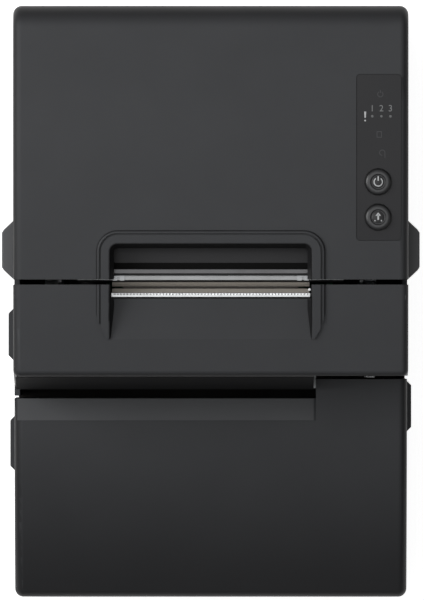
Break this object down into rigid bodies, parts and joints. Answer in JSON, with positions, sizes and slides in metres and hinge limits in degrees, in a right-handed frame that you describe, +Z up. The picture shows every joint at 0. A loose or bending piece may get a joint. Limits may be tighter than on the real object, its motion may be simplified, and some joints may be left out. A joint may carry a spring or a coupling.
{
  "type": "receipt printer",
  "caption": "Desktop receipt printer with a hinged roll cover, a ribbon lid, a tilting slip table in front, side release levers and a key panel.",
  "frame": {"origin": "on the table, below the middle of the outer box", "axes": "+X to the operator's right, +Y to the rear, +Z up; the slip table faces -Y"},
  "size_m": [0.196, 0.278, 0.1842],
  "materials": {
    "case_plastic": "fine grained matt moulding",
    "cover_plastic": "fine grained matt moulding",
    "panel_plastic": "smooth matt film",
    "key_plastic": "satin domed keys",
    "lever_plastic": "fine grained matt moulding",
    "lens_plastic": "clear light pipes",
    "inner_plastic": "dull black moulding",
    "gear_plastic": "natural acetal",
    "sheet_steel": "plated sheet",
    "shaft_steel": "ground",
    "tear_steel": "bright ground edge",
    "heat_sink": "extruded",
    "motor_can": "black can",
    "rubber": "dull",
    "board": "green solder mask",
    "port_shell": "black sockets",
    "inked_ribbon": "inked nylon"
  },
  "bodies": {
    "base": {"base_case": "case_plastic", "bottom_plate": "sheet_steel", "rubber_feet": "rubber", "case_screws": "shaft_steel", "cover_hinge_pins": "shaft_steel", "front_unit_pins": "shaft_steel", "left_side_frame": "sheet_steel", "right_side_frame": "sheet_steel", "roll_bay": "inner_plastic", "receipt_motor": "motor_can", "thermal_head": "heat_sink", "head_springs": "shaft_steel", "head_plate": "sheet_steel", "cutter_frame": "sheet_steel", "cutter_motor": "inner_plastic", "tear_bar": "tear_steel", "lower_slip_guide": "sheet_steel", "upper_slip_guide": "sheet_steel", "stopper_solenoid": "motor_can", "slip_motor": "motor_can", "carriage_rod": "shaft_steel", "timing_belt": "rubber", "pulley_plates": "sheet_steel", "carriage_motor": "motor_can", "ribbon_cassette": "inner_plastic", "ink_ribbon": "inked_ribbon", "main_board": "board", "interface_plate": "sheet_steel", "port_board": "board", "power_inlet": "port_shell", "data_ports": "port_shell"},
    "roll_cover": {"roll_cover": "cover_plastic", "control_panel": "panel_plastic", "panel_board": "board", "status_lights": "lens_plastic", "platen_bracket": "sheet_steel", "fixed_blade": "shaft_steel", "platen_bearings": "gear_plastic"},
    "latch": {"latch_shaft": "shaft_steel", "release_levers": "lever_plastic"},
    "power_key": {"power_key": "key_plastic"},
    "feed_key": {"feed_key": "key_plastic"},
    "platen": {"platen_shaft": "shaft_steel", "platen_roller": "rubber"},
    "feed_gear": {"feed_gear": "gear_plastic"},
    "feed_pinion": {"feed_pinion": "gear_plastic"},
    "cutter_blade": {"cutter_blade": "shaft_steel"},
    "cutter_shaft": {"cutter_shaft": "shaft_steel"},
    "slip_drive": {"slip_roller_shaft": "shaft_steel", "slip_rollers": "rubber"},
    "slip_pinion": {"slip_pinion": "gear_plastic"},
    "pinch_rollers": {"pinch_rollers": "gear_plastic"},
    "form_stopper": {"form_stopper": "gear_plastic"},
    "carriage": {"carriage": "inner_plastic", "print_head": "shaft_steel"},
    "drive_pulley": {"drive_pulley": "gear_plastic"},
    "idler_pulley": {"idler_pulley": "gear_plastic"},
    "ribbon_knob": {"ribbon_knob": "gear_plastic"},
    "front_lid": {"front_lid": "cover_plastic"},
    "front_unit": {"front_unit_case": "case_plastic"}
  },
  "joints": [
    {"name": "roll_cover_hinge", "type": "hinge", "parent": "base", "child": "roll_cover", "pos_m": [0, 0.1315, 0.126], "axis": [-1, 0, 0], "range_deg": [0, 75]},
    {"name": "release_lever_turn", "type": "hinge", "parent": "roll_cover", "child": "latch", "pos_m": [0, 0.0339, 0.14965], "axis": [-1, 0, 0], "range_deg": [0, 10], "stiffness_Nm_per_rad": 0.4},
    {"name": "power_key_press", "type": "slide", "parent": "roll_cover", "child": "power_key", "axis": [0, 0, -1], "range_m": [0, 0.0008], "stiffness_N_per_m": 500},
    {"name": "feed_key_press", "type": "slide", "parent": "roll_cover", "child": "feed_key", "axis": [0, 0, -1], "range_m": [0, 0.0008], "stiffness_N_per_m": 500},
    {"name": "platen_spin", "type": "hinge", "parent": "roll_cover", "child": "platen", "pos_m": [0, 0.0162, 0.146], "axis": [1, 0, 0], "continuous": true},
    {"name": "feed_gear_spin", "type": "hinge", "parent": "base", "child": "feed_gear", "pos_m": [0, 0.0162, 0.12425], "axis": [1, 0, 0], "continuous": true},
    {"name": "feed_pinion_spin", "type": "hinge", "parent": "base", "child": "feed_pinion", "pos_m": [0, 0.0288, 0.11291], "axis": [1, 0, 0], "continuous": true},
    {"name": "cutter_blade_slide", "type": "slide", "parent": "base", "child": "cutter_blade", "axis": [0, 1, 0], "range_m": [0, 0.008]},
    {"name": "cutter_shaft_turn", "type": "hinge", "parent": "base", "child": "cutter_shaft", "pos_m": [0, -0.01, 0.15425], "axis": [-1, 0, 0], "range_deg": [0, 140]},
    {"name": "carriage_slide", "type": "slide", "parent": "base", "child": "carriage", "axis": [1, 0, 0], "range_m": [0, 0.072]},
    {"name": "drive_pulley_turn", "type": "hinge", "parent": "base", "child": "drive_pulley", "pos_m": [-0.058, 0, 0.122], "axis": [0, -1, 0], "range_deg": [0, 800]},
    {"name": "idler_pulley_turn", "type": "hinge", "parent": "base", "child": "idler_pulley", "pos_m": [0.058, 0, 0.122], "axis": [0, -1, 0], "range_deg": [0, 800]},
    {"name": "ribbon_knob_turn", "type": "hinge", "parent": "base", "child": "ribbon_knob", "pos_m": [0.04, -0.018, 0.147], "axis": [0, 0, 1], "continuous": true},
    {"name": "slip_drive_spin", "type": "hinge", "parent": "base", "child": "slip_drive", "pos_m": [0, -0.025, 0.1032], "axis": [1, 0, 0], "continuous": true},
    {"name": "slip_pinion_spin", "type": "hinge", "parent": "base", "child": "slip_pinion", "pos_m": [0, -0.01773, 0.0906], "axis": [1, 0, 0], "continuous": true},
    {"name": "pinch_roller_spin", "type": "hinge", "parent": "base", "child": "pinch_rollers", "pos_m": [0, -0.025, 0.1125], "axis": [1, 0, 0], "continuous": true},
    {"name": "form_stopper_rise", "type": "slide", "parent": "base", "child": "form_stopper", "axis": [0, 0, 1], "range_m": [0, 0.004]},
    {"name": "front_lid_hinge", "type": "hinge", "parent": "base", "child": "front_lid", "pos_m": [0, 0.003, 0.17287], "axis": [-1, 0, 0], "range_deg": [0, 70]},
    {"name": "front_unit_tilt", "type": "hinge", "parent": "base", "child": "front_unit", "pos_m": [0, -0.131, 0.012], "axis": [1, 0, 0], "range_deg": [0, 20]}
  ],
  "couplings": [
    {"joint": "feed_gear_spin", "follows": "platen_spin", "ratio": -0.8},
    {"joint": "feed_pinion_spin", "follows": "platen_spin", "ratio": 2},
    {"joint": "cutter_shaft_turn", "follows": "cutter_blade_slide", "rad_per_m": 250},
    {"joint": "drive_pulley_turn", "follows": "carriage_slide", "rad_per_m": 151.52},
    {"joint": "idler_pulley_turn", "follows": "carriage_slide", "rad_per_m": 151.52},
    {"joint": "slip_pinion_spin", "follows": "slip_drive_spin", "ratio": -2}
  ]
}
